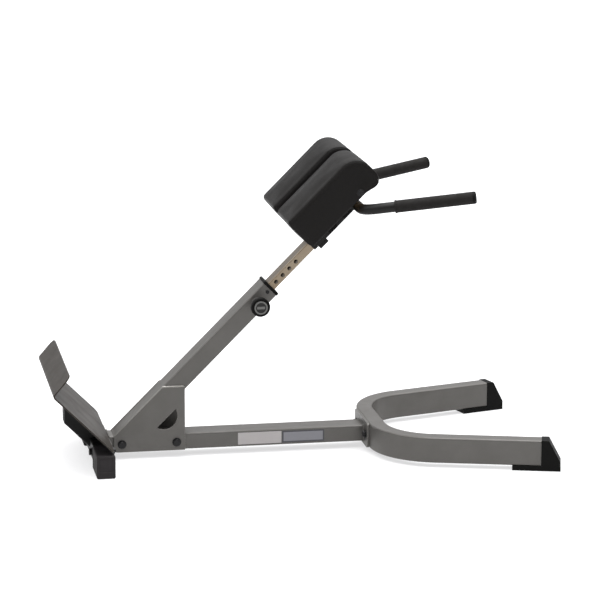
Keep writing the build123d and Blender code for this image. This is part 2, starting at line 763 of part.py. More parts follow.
def handle_direction():
    """Unit direction of the right handle: back, up a little and splayed outward."""
    splay = math.tan(math.radians(HANDLE_SPLAY))
    rise = math.tan(math.radians(HANDLE_RISE))
    return Vector(1, -splay, rise).normalized()


def handle_corner():
    return mast_point(HANDLE_T, HANDLE_N, -HANDLE_HALF)


def mirrored(point):
    return Vector(point.X, -point.Y, point.Z)


def handle_bar():
    corner = handle_corner()
    tip = corner + handle_direction() * HANDLE_REACH
    path = FilletPolyline(tip, corner, mirrored(corner), mirrored(tip), radius=HANDLE_BEND)
    ring = Circle(HANDLE_RADIUS) - Circle(HANDLE_RADIUS - HANDLE_WALL)
    return sweep(Plane(origin=path @ 0, z_dir=path % 0) * ring, path=path)


def grip():
    """Rubber sleeve over the right handle, with a bead at its mouth and a closed end."""
    out = handle_direction()
    start = handle_corner() + out * GRIP_START
    length = HANDLE_REACH - GRIP_START
    sleeve = rod(start, out, GRIP_RADIUS, length)
    bead = rod(start, out, GRIP_RADIUS + GRIP_BEAD, 5)
    bead = fillet(bead.edges().filter_by(GeomType.CIRCLE), 1.1)
    return sleeve + bead - rod(start - out * 5, out, HANDLE_RADIUS, length + 10)


def grip_plug():
    """Rounded plastic plug that closes the end of the handle."""
    out = handle_direction()
    end = handle_corner() + out * HANDLE_REACH
    dome = rod(end, out, GRIP_RADIUS, GRIP_PLUG)
    dome = fillet(dome.faces().sort_by(Axis(end, out))[-1].edges(), GRIP_PLUG_ROUND)
    return dome + rod(end, out * -1, HANDLE_RADIUS - HANDLE_WALL, GRIP_PLUG_SHANK)


# ---------------------------------------------------------------- front bar and foot plate


def front_bolt_holes():
    ease = (M10 + HOLE_EASE) / 2
    start = STABILISER_LEFT - 1
    return [
        rod(Vector(start, side * FRONT_BOLT_Y, STABILISER_MID), Vector(1, 0, 0), ease, STABILISER_SIZE + 2)
        for side in (-1, 1)
    ]


def front_stabiliser():
    mid = (STABILISER_LEFT + STABILISER_RIGHT) / 2
    section = Plane.XZ.offset(-STABILISER_HALF) * Pos(mid, STABILISER_MID) * hollow(
        STABILISER_SIZE, STABILISER_SIZE, TUBE_WALL, TUBE_CORNER
    )
    return extrude(section, amount=2 * STABILISER_HALF) - front_bolt_holes()


def front_foot():
    """Rubber shoe on the right end of the front bar."""
    mid = (STABILISER_LEFT + STABILISER_RIGHT) / 2
    outer_size = STABILISER_SIZE + 2 * FOOT_SKIN
    height = STABILISER_TOP + FOOT_SKIN
    outer = Plane.XZ.offset(STABILISER_HALF + FOOT_END) * Pos(mid, height / 2) * RectangleRounded(
        outer_size, height, TUBE_CORNER
    )
    shoe = extrude(outer, amount=-FOOT_LENGTH)
    shoe = fillet(shoe.faces().sort_by(Axis.Y)[0].edges(), FOOT_ROUND)
    bar = Plane.XZ.offset(STABILISER_HALF) * Pos(mid, STABILISER_MID) * RectangleRounded(
        STABILISER_SIZE, STABILISER_SIZE, TUBE_CORNER
    )
    shoe -= extrude(bar, amount=-FOOT_LENGTH)
    panel_size = STABILISER_SIZE - 2 * FOOT_PANEL_EDGE
    panel = Plane.XZ.offset(STABILISER_HALF + FOOT_END) * Pos(mid, STABILISER_MID) * RectangleRounded(
        panel_size, panel_size, FOOT_PANEL_EDGE
    )
    return shoe - extrude(panel, amount=-FOOT_PANEL_DEPTH)


def sole_edge_point():
    return Vector(0, 0, SOLE_FOOT_Z)


def foot_plate():
    """One bent sheet: the sole plate, and the heel and calf plate at its upper edge."""
    bend_x = -SOLE_LENGTH / SQRT2
    bend_z = SOLE_FOOT_Z + SOLE_LENGTH / SQRT2
    calf = math.radians(CALF_ANGLE)
    top = (bend_x + CALF_LENGTH * math.cos(calf), bend_z + CALF_LENGTH * math.sin(calf))
    outer = FilletPolyline((0, SOLE_FOOT_Z), (bend_x, bend_z), top, radius=SHEET_BEND + SHEET)
    rib = offset(outer, amount=SHEET, side=Side.RIGHT)
    section = make_face(rib)
    sheet = extrude(Plane.XZ.offset(-FOOT_HALF_WIDTH) * section, amount=2 * FOOT_HALF_WIDTH)
    corners = [e for e in sheet.edges() if abs(e.length - SHEET) < 0.01 and abs(e.tangent_at(0).Y) < 0.1]
    upper = [e for e in corners if e.center().Z > SOLE_FOOT_Z + 30]
    sheet = fillet(upper, CALF_CORNER)
    corners = [e for e in sheet.edges() if abs(e.length - SHEET) < 0.01 and e.center().Z < SOLE_FOOT_Z + 10]
    return fillet(corners, SOLE_CORNER)


def foot_arm():
    """Square tube under the sole plate, resting on the front bar, with its upper end cut upright."""
    drop = Vector(-1, 0, -1).normalized()
    along = Vector(-1, 0, 1).normalized()
    centre = sole_edge_point() + drop * (SHEET + ARM_SIZE / 2)
    plane = Plane(origin=centre - along * 60, x_dir=(0, 1, 0), z_dir=along)
    arm = extrude(plane * hollow(ARM_SIZE, ARM_SIZE, TUBE_WALL, TUBE_CORNER), amount=320)
    keep = Box(FAR, FAR, FAR, align=(Align.MAX, Align.CENTER, Align.CENTER))
    arm &= Pos(STABILISER_RIGHT, 0, 0) * keep
    arm -= Pos(ARM_CUT_X, 0, 0) * keep
    bar = Box(FAR, FAR, FAR, align=(Align.MIN, Align.CENTER, Align.MAX))
    return arm - Pos(STABILISER_LEFT, 0, STABILISER_TOP) * bar


def foot_arm_cap():
    """Flat plate that closes the arm's upper end."""
    slope = Vector(-1, 0, 1).normalized()
    face_half = (ARM_SIZE - 2 * TUBE_WALL) / 2
    centre = arm_end_centre()
    plug = Plane(origin=centre, x_dir=(0, 1, 0), z_dir=slope) * RectangleRounded(
        2 * face_half, 2 * face_half, TUBE_CORNER - TUBE_WALL
    )
    block = extrude(plug, amount=2 * ARM_SIZE, both=True)
    slab = Pos(ARM_CUT_X, 0, centre.Z) * Box(
        ARM_CAP, FAR, FAR, align=(Align.MIN, Align.CENTER, Align.CENTER)
    )
    return block & slab


def arm_end_centre():
    """Where the arm's centre line meets its upright end cut."""
    drop = Vector(-1, 0, -1).normalized()
    start = sole_edge_point() + drop * (SHEET + ARM_SIZE / 2)
    run = start.X - ARM_CUT_X
    return Vector(ARM_CUT_X, 0, start.Z + run)


# ---------------------------------------------------------------- fasteners and labels


def gusset_bolts():
    seat_y = -TUBE_W / 2 - GUSSET - WASHER
    length = -2 * seat_y + M10_NUT + THREAD_END
    return group(
        hex_bolt(Vector(x, seat_y, SPINE_MID), Vector(0, -1, 0), M10, M10_AF, M10_HEAD, length)
        for x in GUSSET_BOLT_X
    )


def gusset_washers():
    seat = TUBE_W / 2 + GUSSET
    return group(
        washer(Vector(x, side * seat, SPINE_MID), Vector(0, side, 0), M10)
        for x in GUSSET_BOLT_X
        for side in (-1, 1)
    )


def gusset_nuts():
    seat = TUBE_W / 2 + GUSSET + WASHER
    return group(
        hex_nut(Vector(x, seat, SPINE_MID), Vector(0, 1, 0), M10, M10_AF, M10_NUT) for x in GUSSET_BOLT_X
    )


def front_bolts():
    length = STABILISER_SIZE + PLATE + 2 * WASHER + M10_NUT + THREAD_END
    return group(
        hex_bolt(
            Vector(STABILISER_LEFT - WASHER, side * FRONT_BOLT_Y, STABILISER_MID),
            Vector(-1, 0, 0), M10, M10_AF, M10_HEAD, length,
        )
        for side in (-1, 1)
    )


def front_washers():
    ends = ((STABILISER_LEFT, -1), (SPINE_START, 1))
    return group(
        washer(Vector(x, side * FRONT_BOLT_Y, STABILISER_MID), Vector(way, 0, 0), M10)
        for x, way in ends
        for side in (-1, 1)
    )


def front_nuts():
    seat = SPINE_START + WASHER
    return group(
        hex_nut(Vector(seat, side * FRONT_BOLT_Y, STABILISER_MID), Vector(1, 0, 0), M10, M10_AF, M10_NUT)
        for side in (-1, 1)
    )


def rear_bolts():
    length = PLATE + TUBE_H + 2 * WASHER + M10_NUT + THREAD_END
    return group(
        hex_bolt(
            Vector(SPINE_END - WASHER, side * REAR_BOLT_Y, REAR_BOLT_Z),
            Vector(-1, 0, 0), M10, M10_AF, M10_HEAD, length,
        )
        for side in (-1, 1)
    )


def rear_washers():
    ends = ((SPINE_END, -1), (BASE_FRONT + TUBE_H, 1))
    return group(
        washer(Vector(x, side * REAR_BOLT_Y, REAR_BOLT_Z), Vector(way, 0, 0), M10)
        for x, way in ends
        for side in (-1, 1)
    )


def rear_nuts():
    seat = BASE_FRONT + TUBE_H + WASHER
    return group(
        hex_nut(Vector(seat, side * REAR_BOLT_Y, REAR_BOLT_Z), Vector(1, 0, 0), M10, M10_AF, M10_NUT)
        for side in (-1, 1)
    )


def label(x_range):
    """Thin blank sticker on the spine's right side."""
    length = x_range[1] - x_range[0]
    sketch = Pos((x_range[0] + x_range[1]) / 2, SPINE_MID) * RectangleRounded(length, LABEL_HEIGHT, LABEL_CORNER)
    return extrude(Plane.XZ.offset(TUBE_W / 2) * sketch, amount=LABEL)


# ---------------------------------------------------------------- assembly


def left_of(right_part):
    """The same piece on the other side of the bench."""
    return mirror(right_part, about=Plane.XZ)


def both_sides(name, right_part):
    return {name + "_right": right_part, name + "_left": left_of(right_part)}


def all_nodes():
    nodes = {
        "main_beam": main_beam(),
        "front_flange": front_flange(),
        "rear_flange": rear_flange(),
        "rear_base": rear_base(),
        "mast_tube": mast_tube(),
        "guide_bushing": guide_bushing(),
        "guide_screw": guide_screw(),
        "pin_barrel": pin_barrel(),
        "pin_weld_nut": pin_weld_nut(),
        "pin_spring": pin_spring(),
        "pull_pin": pull_pin(),
        "pull_knob": pull_knob(),
        "knob_cap": knob_cap(),
        "adjust_tube": adjust_tube(),
        "tail_glide": tail_glide(),
        "pad_post": pad_post(),
        "post_spacer": post_spacer(),
        "post_end_plate": post_end_plate(),
        "post_block": post_block(),
        "post_bolt": post_bolt(),
        "post_washer": post_washer(),
        "post_nut": post_nut(),
        "pad_rail_lower": pad_rail(RAIL_T[0]),
        "pad_rail_upper": pad_rail(RAIL_T[1]),
        "rail_plugs": rail_plugs(),
        "pad_bolts": pad_bolts(),
        "pad_washers": pad_washers(),
        "handle_bar": handle_bar(),
        "front_stabiliser": front_stabiliser(),
        "foot_plate": foot_plate(),
        "foot_arm": foot_arm(),
        "foot_arm_cap": foot_arm_cap(),
        "gusset_bolts": gusset_bolts(),
        "gusset_washers": gusset_washers(),
        "gusset_nuts": gusset_nuts(),
        "front_bolts": front_bolts(),
        "front_washers": front_washers(),
        "front_nuts": front_nuts(),
        "rear_bolts": rear_bolts(),
        "rear_washers": rear_washers(),
        "rear_nuts": rear_nuts(),
        "size_label": label(SIZE_LABEL_X),
        "notice_label": label(NOTICE_LABEL_X),
    }
    nodes.update(both_sides("rear_cap", rear_cap()))
    nodes["gusset_right"] = gusset_plate() - gusset_slot()
    nodes["gusset_left"] = left_of(gusset_plate())
    nodes.update(both_sides("front_foot", front_foot()))
    nodes.update(both_sides("pad_board", pad_board()))
    nodes.update(both_sides("pad", pad_cushion()))
    nodes.update(both_sides("pad_side_screw", pad_side_screw()))
    nodes.update(both_sides("grip", grip()))
    nodes.update(both_sides("grip_plug", grip_plug()))
    return nodes


def middle_x(nodes):
    """Middle of the whole bench along X."""
    boxes = [part.bounding_box() for part in nodes.values()]
    return (min(b.min.X for b in boxes) + max(b.max.X for b in boxes)) / 2


def main():
    os.makedirs("parts", exist_ok=True)
    nodes = all_nodes()
    shift = -middle_x(nodes)
    for name, part in nodes.items():
        export_step(Pos(shift, 0, 0) * part, f"parts/{name}.step")
    print("nodes", len(nodes), "moved along X by", round(shift, 3))


main()
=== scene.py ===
# %% [markdown]
# # A roman chair, piece by piece
# A roman chair is a bench for back extensions. Its user stands on a tilted plate, leans the
# hips on two pads, and holds two handles at the back. The frame is welded from rectangular
# steel tube. The solid model of every tube, plate and bolt comes from the CAD pack, and
# this lesson dresses it: sewn pads, weld beads, a ribbed knob, staples, and the finishes.

# %% Load the frame and keep its box
import json
import math
import random

import bmesh
import bpy
from mathutils import Euler, Matrix, Vector
from mathutils.bvhtree import BVHTree


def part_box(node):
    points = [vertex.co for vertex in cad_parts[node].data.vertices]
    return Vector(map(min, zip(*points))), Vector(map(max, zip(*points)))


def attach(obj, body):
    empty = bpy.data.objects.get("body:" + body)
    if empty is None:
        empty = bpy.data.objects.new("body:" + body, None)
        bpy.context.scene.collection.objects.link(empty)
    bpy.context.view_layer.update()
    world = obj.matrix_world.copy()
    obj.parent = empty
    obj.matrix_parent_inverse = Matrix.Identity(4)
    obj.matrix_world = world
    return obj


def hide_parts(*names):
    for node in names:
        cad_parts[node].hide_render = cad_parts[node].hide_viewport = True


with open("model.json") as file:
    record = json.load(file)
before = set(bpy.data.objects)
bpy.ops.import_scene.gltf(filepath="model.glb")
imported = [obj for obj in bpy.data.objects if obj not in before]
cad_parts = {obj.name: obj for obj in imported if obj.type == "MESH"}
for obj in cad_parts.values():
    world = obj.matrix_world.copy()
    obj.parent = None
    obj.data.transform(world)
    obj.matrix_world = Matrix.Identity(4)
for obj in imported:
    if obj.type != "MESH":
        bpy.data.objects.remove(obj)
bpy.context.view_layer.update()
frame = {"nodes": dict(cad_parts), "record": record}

nodes = frame["nodes"]

# %% [markdown]
# ## Where the mast is
# The mast leans back at 45 degrees, and the adjusting tube is centred on its axis. So the
# middle of that tube's box is a point on the axis, and the spine's top gives the mast's
# foot. Everything on the mast is then placed by three lengths: along it, off its upper
# face, and across the bench.

# %% Directions and places on the mast
MM = 0.001
ALONG = Vector((1, 0, 1)).normalized()
OFF = Vector((-1, 0, 1)).normalized()
ACROSS = Vector((0, 1, 0))
LEFT_AND_RIGHT = (("right", -1), ("left", 1))

tube_low, tube_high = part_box("adjust_tube")
tube_middle = (tube_low + tube_high) / 2
spine_low, spine_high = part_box("main_beam")
mast_foot = tube_middle - ALONG * ((tube_middle.z - spine_high.z) * math.sqrt(2))
TUBE_HALF_WIDTH = spine_high.y
MAST_DEPTH = 50.0


def on_mast(along, off=0.0, across=0.0):
    """A point from millimetres along, off and across the mast."""
    return mast_foot + (ALONG * along + OFF * off + ACROSS * across) * MM


def mast_lengths(point):
    """The opposite of on_mast: millimetres along, off and across."""
    away = (point - mast_foot) / MM
    return away.dot(ALONG), away.dot(OFF), away.y


MAST_SPACE = Matrix.Translation(mast_foot) @ Matrix((ALONG, ACROSS, OFF)).transposed().to_4x4()
print("mast foot", [round(v, 4) for v in mast_foot], "tube half width", round(TUBE_HALF_WIDTH, 4))

# %% [markdown]
# ## Small helpers
# A hex colour is read the way a paint chart gives it, in sRGB, and Blender's shaders want
# linear light, so one function turns one into the other. A second adds any node with its
# settings and its links. A third finishes every new mesh in the same way: it gets a
# name, a body to ride on and a finish.

# %% Colour, node and piece helpers
def linear(hex_colour):
    """An sRGB hex colour as linear red, green, blue and alpha."""
    values = [int(hex_colour[i : i + 2], 16) / 255 for i in (1, 3, 5)]
    curve = [v / 12.92 if v <= 0.04045 else ((v + 0.055) / 1.055) ** 2.4 for v in values]
    return (*curve, 1.0)


def add(material, kind, settings=None, links=None):
    """Add a node. A setting is a socket's name or number, or one of the node's own options."""
    made = material.node_tree.nodes.new(kind)
    for name, value in (settings or {}).items():
        if isinstance(name, int) or name in made.inputs:
            made.inputs[name].default_value = value
        else:
            setattr(made, name, value)
    for name, source in (links or {}).items():
        material.node_tree.links.new(source, made.inputs[name])
    return made


def new_mesh(name, shape):
    """Turn a bmesh into an object with outward faces."""
    bmesh.ops.remove_doubles(shape, verts=shape.verts, dist=1e-6)
    bmesh.ops.recalc_face_normals(shape, faces=shape.faces)
    mesh = bpy.data.meshes.new(name)
    shape.to_mesh(mesh)
    shape.free()
    piece = bpy.data.objects.new(name, mesh)
    bpy.context.scene.collection.objects.link(piece)
    return piece


def smooth(piece, angle=35):
    """Shade smooth, but keep edges sharper than the angle."""
    piece.data.shade_smooth()
    piece.data.set_sharp_from_angle(angle=math.radians(angle))


def fit(piece, body, material):
    """Give a new piece its body and its finish."""
    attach(piece, body)
    piece.data.materials.clear()
    piece.data.materials.append(material)
    return piece


# %% [markdown]
# ## A recipe for coatings
# Paint, plastic, rubber and plating have the same plan: a colour that drifts a little from
# place to place, a roughness that drifts with it, and a fine relief. The sizes are given in
# millimetres, because that is how grain is measured. Real sheet and tube have rounded
# edges, and a Bevel node lends the light that rounding without more faces. The same node
# finds the edges, and a paler colour is painted along them as a painted highlight.

# %% The coating recipe
def coated(
    name, tone, drift, patch, rough, grain, depth, edge=None, rounding=0.8, stretch=(1, 1, 1), **shader
):
    """A finish of two tones in patches, a range of roughness and a fine grain, all in mm, with a painted
    highlight along edges when edge is given.
    """
    material = bpy.data.materials.new(name)
    material.use_nodes = True
    material.node_tree.nodes.clear()
    place = add(material, "ShaderNodeTexCoord")
    scaled = add(material, "ShaderNodeMapping", {"Scale": stretch}, {"Vector": place.outputs["Object"]})
    cloud = add(
        material, "ShaderNodeTexNoise", {"Scale": 1 / (patch * MM), "Detail": 4.0, "Roughness": 0.6},
        {"Vector": scaled.outputs[0]},
    )
    fine = add(
        material, "ShaderNodeTexNoise", {"Scale": 1 / (grain * MM), "Detail": 2.0},
        {"Vector": scaled.outputs[0]},
    )
    colour = add(
        material, "ShaderNodeMix", {"data_type": "RGBA", 6: linear(tone), 7: linear(drift)},
        {0: cloud.outputs["Fac"]},
    )
    gloss = add(
        material, "ShaderNodeMapRange",
        {"From Min": 0.3, "From Max": 0.7, "To Min": rough[0], "To Max": rough[1]},
        {"Value": cloud.outputs["Fac"]},
    )
    soft = add(material, "ShaderNodeBevel", {"samples": 4, "Radius": rounding * MM})
    relief = add(
        material, "ShaderNodeBump", {"Strength": 1.0, "Distance": depth * MM},
        {"Height": fine.outputs["Fac"], "Normal": soft.outputs[0]},
    )
    painted = colour.outputs[2]
    # edge is a paler colour mixed in along edges: a painted highlight of rounded edges catching the light
    if edge:
        flat = add(material, "ShaderNodeNewGeometry")
        alike = add(
            material, "ShaderNodeVectorMath", {"operation": "DOT_PRODUCT"},
            {0: soft.outputs[0], 1: flat.outputs["Normal"]},
        )
        near = add(
            material, "ShaderNodeMapRange",
            {"From Min": 0.99, "From Max": 0.8, "To Min": 0.0, "To Max": 0.75},
            {"Value": alike.outputs["Value"]},
        )
        painted_edge_highlight = add(
            material, "ShaderNodeMix", {"data_type": "RGBA", 7: linear(edge)},
            {0: near.outputs[0], 6: painted},
        )
        painted = painted_edge_highlight.outputs[2]
    surface = add(
        material, "ShaderNodeBsdfPrincipled", shader,
        {"Base Color": painted, "Roughness": gloss.outputs[0], "Normal": relief.outputs[0]},
    )
    add(material, "ShaderNodeOutputMaterial", {}, {"Surface": surface.outputs[0]})
    return material


# %% [markdown]
# ## Paints and metals
# The frame is powder coated in a silver grey with fine metal flake: the powder is baked
# on, so it is satin and has a soft orange-peel skin. The carriage and the front bar are
# coated in satin black, and the foot plate in a warm dark grey. The adjusting tube is
# bright plated steel that rubs in its guide, so its streaks run along it.

# %% Make the paints and metals
silver_powder = coated(
    "silver_powder_coat", "#585653", "#4f4d4a", 60, (0.36, 0.46), 0.9, 0.05, edge="#a3a19c",
    rounding=1.6, Metallic=0.35,
)
# A paler silver for the gusset beads: a painted highlight along the bead tops and slopes.
weld_highlight_silver = coated(
    "silver_powder_painted_weld_highlight", "#94928d", "#7b7974", 8, (0.3, 0.4), 0.9, 0.05, rounding=0.3, Metallic=0.5
)
black_powder = coated(
    "black_powder_coat", "#141312", "#0f0f0e", 50, (0.42, 0.55), 1.0, 0.05, edge="#2d2b28",
    rounding=1.0, **{"Specular IOR Level": 0.2},
)
foot_powder = coated(
    "dark_grey_powder_coat", "#2e2a26", "#292521", 70, (0.45, 0.55), 0.9, 0.02, edge="#7b746a",
    rounding=0.8, **{"Specular IOR Level": 0.2},
)
zinc_plate = coated(
    "bright_zinc_plate", "#948c7e", "#685540", 32, (0.22, 0.36), 0.7, 0.02, rounding=1.0,
    stretch=(0.25, 1, 0.25), Metallic=1.0,
)
black_zinc = coated(
    "black_zinc_fasteners", "#161617", "#0e0e0f", 6, (0.35, 0.45), 0.6, 0.02, edge="#3a3a3c",
    rounding=0.6, Metallic=0.5,
)
bright_zinc = coated(
    "bright_zinc_fasteners", "#8f8c87", "#77746f", 6, (0.24, 0.36), 0.6, 0.02, rounding=0.5, Metallic=1.0,
)

# %% [markdown]
# ## Plastics and rubber
# The end feet, the knob and the guide are moulded in black nylon, which takes a fine
# spark-eroded grain from its mould. The front shoes are rubber, duller and softer. The
# grips are closed-cell foam: its skin is matt with tiny pits about a millimetre apart.

# %% Make the plastics and rubber
LOW_SHINE = {"Specular IOR Level": 0.15}
black_nylon = coated(
    "moulded_black_nylon", "#0b0b0a", "#090908", 25, (0.5, 0.62), 0.7, 0.06, edge="#262523",
    rounding=1.2, **{"Specular IOR Level": 0.09},
)
grey_nylon = coated(
    "moulded_grey_nylon", "#3d3d3f", "#353537", 8, (0.4, 0.5), 0.6, 0.03, rounding=0.5, **LOW_SHINE
)
shoe_rubber = coated(
    "black_shoe_rubber", "#2b2829", "#222021", 30, (0.62, 0.78), 1.2, 0.08, edge="#3d3a3a",
    rounding=1.6, **LOW_SHINE,
)
grip_foam = coated(
    "closed_cell_grip_foam", "#1d1b1a", "#171615", 18, (0.66, 0.8), 1.1, 0.22, rounding=1.0, **LOW_SHINE
)

# %% [markdown]
# ## Upholstery vinyl
# The pads are covered in vinyl embossed with a leather grain: small domed cells about two
# millimetres across, with creases between them. A Voronoi pattern gives the cells, and
# the distance to a cell's edge gives the creases. Broad soft noise stands for the slight
# shine that hips leave on a used pad.

# %% Make the vinyl
CELL = 2.2


def upholstery_vinyl():
    material = bpy.data.materials.new("embossed_black_vinyl")
    material.use_nodes = True
    material.node_tree.nodes.clear()
    place = add(material, "ShaderNodeTexCoord")
    warp = add(
        material, "ShaderNodeTexNoise", {"Scale": 1 / (4 * CELL * MM)}, {"Vector": place.outputs["Object"]},
    )
    bent = add(
        material, "ShaderNodeVectorMath", {"operation": "MULTIPLY_ADD", 1: (0.001, 0.001, 0.001)},
        {0: warp.outputs["Color"], 2: place.outputs["Object"]},
    )
    cells = add(
        material, "ShaderNodeTexVoronoi", {"feature": "DISTANCE_TO_EDGE", "Scale": 1 / (CELL * MM)},
        {"Vector": bent.outputs[0]},
    )
    dome = add(
        material, "ShaderNodeMapRange", {"From Max": 0.22, "interpolation_type": "SMOOTHSTEP"},
        {"Value": cells.outputs["Distance"]},
    )
    cloud = add(
        material, "ShaderNodeTexNoise", {"Scale": 1 / (90 * MM), "Detail": 3.0},
        {"Vector": place.outputs["Object"]},
    )
    # The creases between cells are painted darker than the domes: painted shade in the creases.
    tone = add(
        material, "ShaderNodeMix", {"data_type": "RGBA", 6: linear("#0d0c0b"), 7: linear("#161413")},
        {0: dome.outputs[0]},
    )
    gloss = add(
        material, "ShaderNodeMapRange",
        {"From Min": 0.35, "From Max": 0.65, "To Min": 0.44, "To Max": 0.58},
        {"Value": cloud.outputs["Fac"]},
    )
    relief = add(
        material, "ShaderNodeBump", {"Strength": 0.3, "Distance": 0.15 * MM}, {"Height": dome.outputs[0]},
    )
    surface = add(
        material, "ShaderNodeBsdfPrincipled", {"Specular IOR Level": 0.12},
        {"Base Color": tone.outputs[2], "Roughness": gloss.outputs[0], "Normal": relief.outputs[0]},
    )
    add(material, "ShaderNodeOutputMaterial", {}, {"Surface": surface.outputs[0]})
    return material


black_vinyl = upholstery_vinyl()

# %% [markdown]
# ## Plywood
# The pads' boards show from behind. Raw plywood has a pale face veneer with long grain
# that runs up the pad, and thin dark and light plies at its edges. The grain is noise
# that is stretched along the mast, and the plies are bands across the board's thickness.

# %% Make the plywood
PLY = 2.4


def plywood():
    material = bpy.data.materials.new("raw_birch_plywood")
    material.use_nodes = True
    material.node_tree.nodes.clear()
    place = add(material, "ShaderNodeTexCoord")
    turned = add(
        material, "ShaderNodeMapping", {"Rotation": (0, math.radians(45), 0)},
        {"Vector": place.outputs["Object"]},
    )
    long = add(material, "ShaderNodeMapping", {"Scale": (0.08, 1, 1)}, {"Vector": turned.outputs[0]})
    grain = add(
        material, "ShaderNodeTexNoise", {"Scale": 1 / (3 * MM), "Detail": 5.0, "Distortion": 0.4},
        {"Vector": long.outputs[0]},
    )
    plies = add(
        material, "ShaderNodeTexWave",
        {"bands_direction": "Z", "Scale": 1 / (2 * PLY * MM * math.pi), "Distortion": 0.3},
        {"Vector": turned.outputs[0]},
    )
    face = add(
        material, "ShaderNodeMix", {"data_type": "RGBA", 6: linear("#b99466"), 7: linear("#d2b184")},
        {0: grain.outputs["Fac"]},
    )
    part = add(material, "ShaderNodeMath", {"operation": "MULTIPLY", 1: 0.35}, {0: plies.outputs["Fac"]})
    tone = add(
        material, "ShaderNodeMix", {"data_type": "RGBA", 7: linear("#7c5a38")},
        {0: part.outputs[0], 6: face.outputs[2]},
    )
    relief = add(
        material, "ShaderNodeBump", {"Strength": 0.5, "Distance": 0.1 * MM},
        {"Height": grain.outputs["Fac"]},
    )
    surface = add(
        material, "ShaderNodeBsdfPrincipled", {"IOR": 1.5, "Roughness": 0.72},
        {"Base Color": tone.outputs[2], "Normal": relief.outputs[0]},
    )
    add(material, "ShaderNodeOutputMaterial", {}, {"Surface": surface.outputs[0]})
    return material


birch_plywood = plywood()

# %% [markdown]
# ## Labels
# Two film labels are stuck on the spine's side. They are left blank. The first is plain
# white. The second has a dark border round a grey panel, and the border is found by
# measuring each point's distance from the label's middle, along the spine and up it.

# %% Make the label films
white_film = coated(
    "white_label_film", "#9e9a99", "#989494", 20, (0.34, 0.42), 0.8, 0.01, rounding=0.1, IOR=1.5,
)
LABEL_BORDER = 4.0


def bordered_film(node, panel, border):
    """A grey panel inside a darker border that is LABEL_BORDER wide."""
    low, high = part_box(node)
    middle, half = (low + high) / 2, (high - low) / 2
    inner = half - Vector((1, 0, 1)) * LABEL_BORDER * MM
    material = bpy.data.materials.new("bordered_label_film")
    material.use_nodes = True
    material.node_tree.nodes.clear()
    place = add(material, "ShaderNodeTexCoord")
    away = add(
        material, "ShaderNodeVectorMath", {"operation": "SUBTRACT", 1: middle},
        {0: place.outputs["Object"]},
    )
    size = add(material, "ShaderNodeVectorMath", {"operation": "ABSOLUTE"}, {0: away.outputs[0]})
    parts = add(material, "ShaderNodeSeparateXYZ", {}, {0: size.outputs[0]})
    wide = add(
        material, "ShaderNodeMath", {"operation": "GREATER_THAN", 1: inner.x}, {0: parts.outputs["X"]},
    )
    tall = add(
        material, "ShaderNodeMath", {"operation": "GREATER_THAN", 1: inner.z}, {0: parts.outputs["Z"]},
    )
    rim = add(
        material, "ShaderNodeMath", {"operation": "MAXIMUM"}, {0: wide.outputs[0], 1: tall.outputs[0]},
    )
    tone = add(
        material, "ShaderNodeMix", {"data_type": "RGBA", 6: linear(panel), 7: linear(border)},
        {0: rim.outputs[0]},
    )
    surface = add(
        material, "ShaderNodeBsdfPrincipled", {"IOR": 1.5, "Roughness": 0.38},
        {"Base Color": tone.outputs[2]},
    )
    add(material, "ShaderNodeOutputMaterial", {}, {"Surface": surface.outputs[0]})
    return material


grey_film = bordered_film("notice_label", "#6f6f74", "#353539")

# %% [markdown]
# ## The knob's cap
# The cap in the knob's face has a raised ring and a raised bar, rubbed pale on top. Both
# stand higher than the rest of the cap, so the height of a point along the pin tells which
# tone it has.

# %% Make the cap's two tones
CAP_RELIEF = 1.0


def raised_tone(node, ground, relief):
    """One tone for a cap's ground and a paler one for all that stands out of it."""
    low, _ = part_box(node)
    material = bpy.data.materials.new("two_tone_knob_cap")
    material.use_nodes = True
    material.node_tree.nodes.clear()
    place = add(material, "ShaderNodeTexCoord")
    parts = add(material, "ShaderNodeSeparateXYZ", {}, {0: place.outputs["Object"]})
    high = add(
        material, "ShaderNodeMath", {"operation": "LESS_THAN", 1: low.y + CAP_RELIEF * MM},
        {0: parts.outputs["Y"]},
    )
    tone = add(
        material, "ShaderNodeMix", {"data_type": "RGBA", 6: linear(ground), 7: linear(relief)},
        {0: high.outputs[0]},
    )
    surface = add(
        material, "ShaderNodeBsdfPrincipled", {"Roughness": 0.42, "Specular IOR Level": 0.3},
        {"Base Color": tone.outputs[2]},
    )
    add(material, "ShaderNodeOutputMaterial", {}, {"Surface": surface.outputs[0]})
    return material


knob_cap_tones = raised_tone("knob_cap", "#141413", "#5e5e5c")

# %% [markdown]
# ## Dress the CAD nodes
# Each slot of the record stands for one finish of the real bench, so the finishes are
# given out by slot.

# %% Give every CAD node its finish
finish_of_slot = {
    "silver_paint": silver_powder,
    "black_paint": black_powder,
    "foot_plate_paint": foot_powder,
    "plated_tube": zinc_plate,
    "black_fasteners": black_zinc,
    "bright_fasteners": bright_zinc,
    "black_plastic": black_nylon,
    "grey_plastic": grey_nylon,
    "foot_rubber": shoe_rubber,
    "grip_foam": grip_foam,
    "pad_cover": black_vinyl,
    "plywood": birch_plywood,
    "white_label": white_film,
    "grey_label": grey_film,
}
for entry in frame["record"]["subparts"]:
    node = nodes[entry["node"]]
    node.data.materials.clear()
    node.data.materials.append(finish_of_slot[entry["material_slot"]])
nodes["knob_cap"].data.materials[0] = knob_cap_tones
for side, _ in LEFT_AND_RIGHT:
    nodes["pad_side_screw_" + side].data.materials[0] = black_zinc

# %% [markdown]
# ## The pads
# A hip pad is a block of foam on a plywood board, with vinyl pulled round it and stapled
# behind. Its front is crowned, its top rolls over in a big round, and its sides are
# nearly flat. It could be a subdivided block, but a real cover is pushed out by the foam
# from inside, which a cloth simulation with a little pressure does well. So a block is
# shaped with bevels, remeshed to an even skin and blown up, with its back held still where
# the board is.

